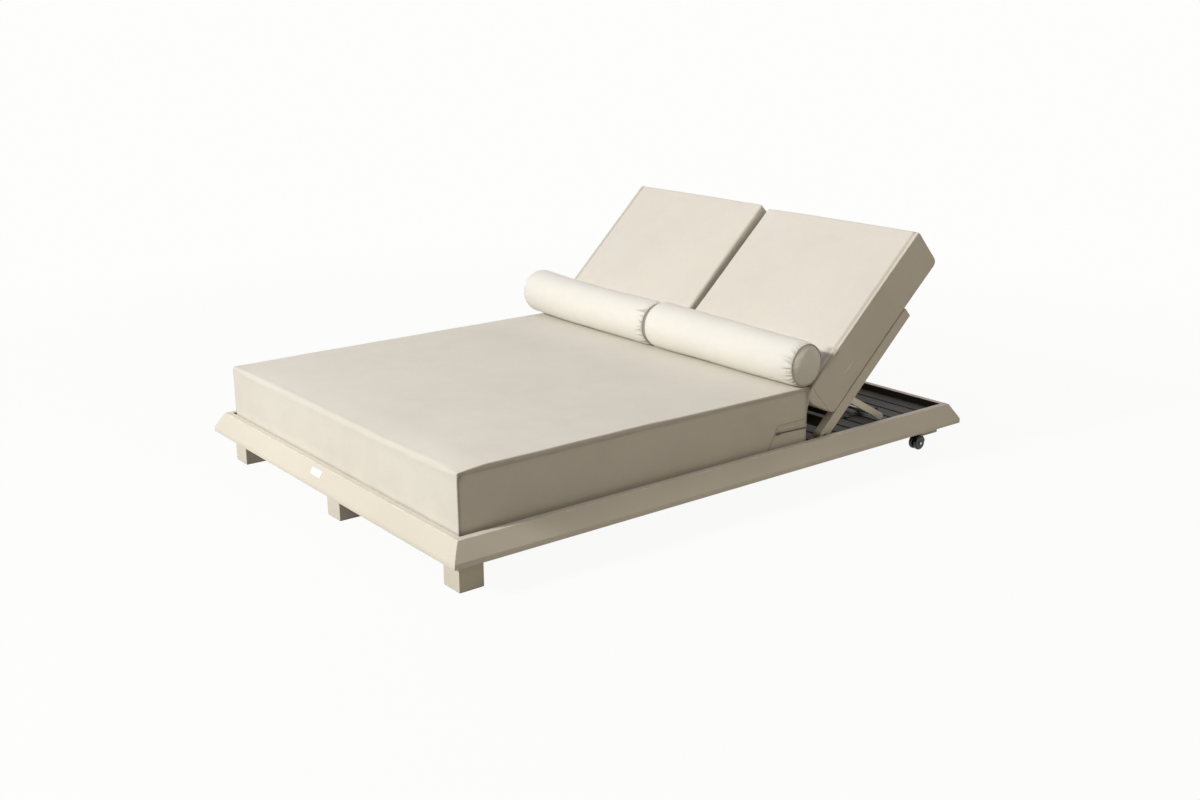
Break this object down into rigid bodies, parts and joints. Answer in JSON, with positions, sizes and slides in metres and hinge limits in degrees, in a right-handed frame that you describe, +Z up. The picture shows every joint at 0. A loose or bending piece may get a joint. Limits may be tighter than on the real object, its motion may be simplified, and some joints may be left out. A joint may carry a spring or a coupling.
{
  "type": "double chaise lounger",
  "caption": "Low double sun lounger: a framed slatted deck on feet and casters, one wide seat cushion, two backs that recline separately, and bolsters.",
  "frame": {"origin": "on the ground, under the middle of the object's box", "axes": "+Z up, +Y towards the head end, +X to the right of a person lying on it"},
  "size_m": [1.6, 2.158, 0.811],
  "materials": {
    "frame_paint": "matte powder coat, warm taupe",
    "slat_paint": "matte powder coat, near black",
    "bare_aluminium": "mill finish",
    "steel": "satin stainless",
    "dark_metal": "dark bronze",
    "black_plastic": "moulded, glossy",
    "caster_tread": "moulded nylon, glossy",
    "cap_plastic": "moulded, taupe",
    "blank_plate": "satin, off-white, bare",
    "cushion_fabric": "smooth woven outdoor canvas, ivory",
    "bolster_fabric": "smooth woven outdoor canvas, cream"
  },
  "bodies": {
    "base": {"front_rail": "frame_paint", "rear_rail": "frame_paint", "left_rail": "frame_paint", "right_rail": "frame_paint", "corner_keys": "bare_aluminium", "front_cross_beam": "frame_paint", "rear_cross_beam": "frame_paint", "centre_beam": "frame_paint", "slat_bearers": "frame_paint", "hinge_beam": "slat_paint", "seat_slats": "slat_paint", "rear_slats": "slat_paint", "slat_screws": "steel", "left_foot": "frame_paint", "middle_foot": "frame_paint", "right_foot": "frame_paint", "foot_pads": "black_plastic", "caster_blocks": "frame_paint", "caster_plates": "steel", "name_plate": "blank_plate", "hinge_brackets": "frame_paint", "prop_racks": "slat_paint", "seat_cushion": "cushion_fabric", "seat_zip_pull": "dark_metal"},
    "left_caster_swivel": {"left_caster_hood": "black_plastic", "left_caster_axle": "steel"},
    "left_caster_roller": {"left_caster_wheels": "caster_tread"},
    "middle_caster_swivel": {"middle_caster_hood": "black_plastic", "middle_caster_axle": "steel"},
    "middle_caster_roller": {"middle_caster_wheels": "caster_tread"},
    "right_caster_swivel": {"right_caster_hood": "black_plastic", "right_caster_axle": "steel"},
    "right_caster_roller": {"right_caster_wheels": "caster_tread"},
    "right_back": {"right_back_outer_tube": "frame_paint", "right_back_inner_tube": "frame_paint", "right_back_top_rail": "frame_paint", "right_back_bottom_rail": "slat_paint", "right_back_slats": "slat_paint", "right_back_end_caps": "cap_plastic", "right_hinge_pins": "steel"},
    "right_prop": {"right_prop_outer_leg": "frame_paint", "right_prop_inner_leg": "frame_paint", "right_prop_rod": "steel", "right_prop_pins": "steel"},
    "right_back_pad": {"right_back_cushion": "cushion_fabric"},
    "right_roll": {"right_bolster": "bolster_fabric"},
    "left_back": {"left_back_outer_tube": "frame_paint", "left_back_inner_tube": "frame_paint", "left_back_top_rail": "frame_paint", "left_back_bottom_rail": "slat_paint", "left_back_slats": "slat_paint", "left_back_end_caps": "cap_plastic", "left_hinge_pins": "steel"},
    "left_prop": {"left_prop_outer_leg": "frame_paint", "left_prop_inner_leg": "frame_paint", "left_prop_rod": "steel", "left_prop_pins": "steel"},
    "left_back_pad": {"left_back_cushion": "cushion_fabric"},
    "left_roll": {"left_bolster": "bolster_fabric"}
  },
  "joints": [
    {"name": "left_caster_turn", "type": "hinge", "parent": "base", "child": "left_caster_swivel", "pos_m": [-0.699, 0.988, 0.055], "axis": [0, 0, 1], "continuous": true},
    {"name": "left_caster_roll", "type": "hinge", "parent": "left_caster_swivel", "child": "left_caster_roller", "pos_m": [-0.699, 0.968, 0.025], "axis": [1, 0, 0], "continuous": true},
    {"name": "middle_caster_turn", "type": "hinge", "parent": "base", "child": "middle_caster_swivel", "pos_m": [0, 0.988, 0.055], "axis": [0, 0, 1], "continuous": true},
    {"name": "middle_caster_roll", "type": "hinge", "parent": "middle_caster_swivel", "child": "middle_caster_roller", "pos_m": [0, 0.968, 0.025], "axis": [1, 0, 0], "continuous": true},
    {"name": "right_caster_turn", "type": "hinge", "parent": "base", "child": "right_caster_swivel", "pos_m": [0.699, 0.988, 0.055], "axis": [0, 0, 1], "continuous": true},
    {"name": "right_caster_roll", "type": "hinge", "parent": "right_caster_swivel", "child": "right_caster_roller", "pos_m": [0.699, 0.968, 0.025], "axis": [1, 0, 0], "continuous": true},
    {"name": "right_recline", "type": "hinge", "parent": "base", "child": "right_back", "pos_m": [0, 0.43, 0.168], "axis": [1, 0, 0], "range_deg": [-42.7, 12]},
    {"name": "right_prop_swing", "type": "hinge", "parent": "right_back", "child": "right_prop", "pos_m": [0, 0.552, 0.28058], "axis": [1, 0, 0], "range_deg": [-20.33, 72.3]},
    {"name": "right_pad_slide", "type": "slide", "parent": "right_back", "child": "right_back_pad", "axis": [0, 0.7349, 0.6782], "range_m": [-0.15425, 0.04342]},
    {"name": "right_bolster_slide", "type": "slide", "parent": "right_back", "child": "right_roll", "axis": [0, 0.7349, 0.6782], "range_m": [-0.11086, 0.03123]},
    {"name": "left_recline", "type": "hinge", "parent": "base", "child": "left_back", "pos_m": [0, 0.43, 0.168], "axis": [1, 0, 0], "range_deg": [-44.2, 10.5]},
    {"name": "left_prop_swing", "type": "hinge", "parent": "left_back", "child": "left_prop", "pos_m": [0, 0.54901, 0.28373], "axis": [1, 0, 0], "range_deg": [-17.79, 74.84]},
    {"name": "left_pad_slide", "type": "slide", "parent": "left_back", "child": "left_back_pad", "axis": [0, 0.7169, 0.6972], "range_m": [-0.15966, 0.03801]},
    {"name": "left_bolster_slide", "type": "slide", "parent": "left_back", "child": "left_roll", "axis": [0, 0.7169, 0.6972], "range_m": [-0.11475, 0.02734]}
  ],
  "couplings": [
    {"joint": "right_prop_swing", "follows": "right_recline", "ratio": -1.693},
    {"joint": "right_pad_slide", "follows": "right_recline", "m_per_rad": 0.20684},
    {"joint": "right_bolster_slide", "follows": "right_recline", "m_per_rad": 0.14863},
    {"joint": "left_prop_swing", "follows": "left_recline", "ratio": -1.693},
    {"joint": "left_pad_slide", "follows": "left_recline", "m_per_rad": 0.20684},
    {"joint": "left_bolster_slide", "follows": "left_recline", "m_per_rad": 0.14863}
  ]
}
